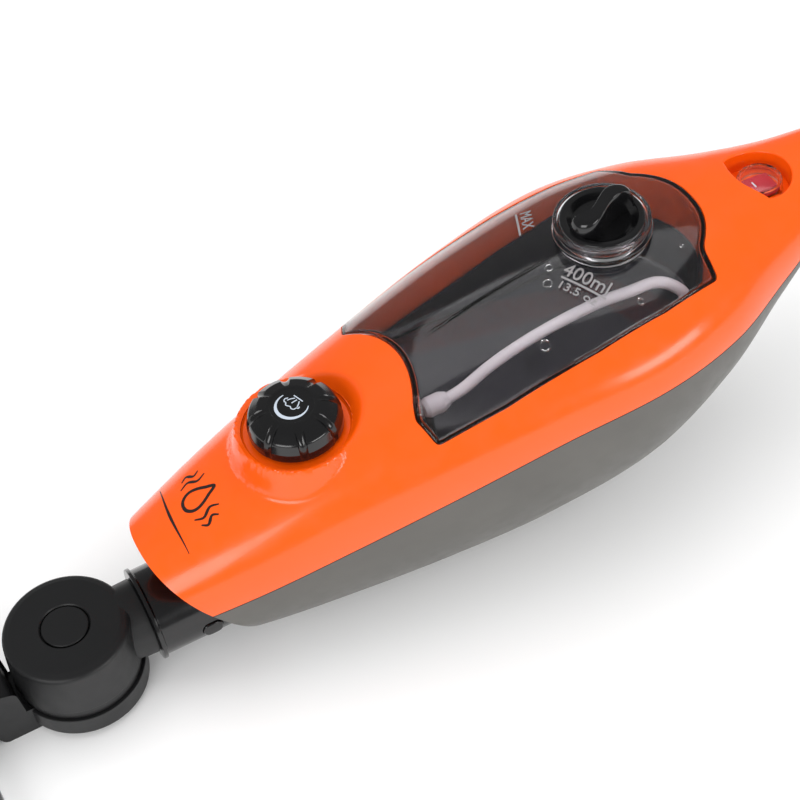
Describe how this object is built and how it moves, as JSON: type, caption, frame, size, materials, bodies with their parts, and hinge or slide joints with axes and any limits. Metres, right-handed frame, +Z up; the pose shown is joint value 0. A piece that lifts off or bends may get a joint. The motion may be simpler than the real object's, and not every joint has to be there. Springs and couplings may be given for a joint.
{
  "type": "handheld steamer",
  "caption": "Handheld wallpaper steamer: two-shell body with clear water tank, steam dial, rocker switch, swivel neck and pitching steam plate.",
  "frame": {"origin": "centre of the bounding box in plan, on the surface that the belly and the sole plate lie on", "axes": "+X along the body from the steam plate to the end of the handle, +Y to the left seen from above, +Z up, out of the water tank"},
  "size_m": [0.695, 0.206, 0.1546],
  "materials": {
    "orange_gloss": "gloss",
    "grey_satin": "satin",
    "clear_smoke": "clear gloss",
    "black_gloss": "gloss",
    "black_satin": "satin",
    "dark_cradle": "satin",
    "rubber_black": "matte",
    "silicone_milky": "satin",
    "red_lens": "gloss",
    "cast_aluminium": "cast",
    "brass": "machined",
    "steel": "plated",
    "circuit_board": "satin",
    "white_nylon": "satin"
  },
  "bodies": {
    "main_body": {"boiler_block": "cast_aluminium", "boiler_gasket": "rubber_black", "boiler_lid": "cast_aluminium", "case_screw_1": "steel", "case_screw_2": "steel", "case_screw_3": "steel", "case_screw_4": "steel", "case_screw_5": "steel", "case_screw_6": "steel", "case_screw_7": "steel", "control_board": "circuit_board", "cord_clamp": "black_satin", "cord_gland": "black_satin", "heater_element": "steel", "intake_filter": "silicone_milky", "intake_hose": "silicone_milky", "knob_seal": "rubber_black", "knuckle_housing": "black_satin", "knuckle_pin": "steel", "knuckle_washer": "black_satin", "lower_shell": "grey_satin", "mouth_bulkhead": "black_satin", "outlet_tube": "black_gloss", "pivot_cap": "black_satin", "pump_body": "black_satin", "pump_inlet_hose": "rubber_black", "pump_mount_front": "rubber_black", "pump_mount_rear": "rubber_black", "pump_outlet_hose": "rubber_black", "release_spring": "steel", "spigot_seal": "rubber_black", "steam_valve": "brass", "switch_body": "black_satin", "switch_cover": "clear_smoke", "tank_cradle": "dark_cradle", "tank_spigot": "dark_cradle", "terminal_block": "white_nylon", "thermal_fuse": "cast_aluminium", "thermostat": "cast_aluminium", "tube_seal": "rubber_black", "upper_shell": "orange_gloss", "valve_inlet_pipe": "steel", "valve_outlet_pipe": "steel", "water_tank": "clear_smoke", "wiring_loom": "rubber_black"},
    "cap": {"filler_cap": "black_gloss", "cap_seal": "rubber_black"},
    "knob": {"steam_knob": "black_gloss", "knob_spindle": "brass"},
    "rocker": {"power_rocker": "red_lens"},
    "button": {"release_button": "black_gloss"},
    "swing_arm": {"knuckle_base": "black_satin"},
    "head": {"sole_plate": "grey_satin", "head_gasket": "rubber_black", "head_cover": "black_satin", "head_pin": "steel"}
  },
  "joints": [
    {"name": "cap_turn", "type": "hinge", "parent": "main_body", "child": "cap", "pos_m": [0.1022, 0, 0.14606], "axis": [0, 0, 1], "range_deg": [0, 330]},
    {"name": "steam_dial", "type": "hinge", "parent": "main_body", "child": "knob", "pos_m": [-0.0515, 0, 0.10706], "axis": [0, 0, 1], "range_deg": [0, 270]},
    {"name": "power_rock", "type": "hinge", "parent": "main_body", "child": "rocker", "pos_m": [0.185, 0, 0.11906], "axis": [0, 1, 0], "range_deg": [-12, 0]},
    {"name": "release_press", "type": "slide", "parent": "main_body", "child": "button", "axis": [0, 1, 0], "range_m": [0, 0.0022], "stiffness_N_per_m": 600},
    {"name": "neck_swing", "type": "hinge", "parent": "main_body", "child": "swing_arm", "pos_m": [-0.1735, 0, 0.01706], "axis": [0, 0, 1], "range_deg": [-60, 60]},
    {"name": "head_pitch", "type": "hinge", "parent": "swing_arm", "child": "head", "pos_m": [-0.2875, 0, 0.03006], "axis": [0, 1, 0], "range_deg": [0, 90]}
  ]
}
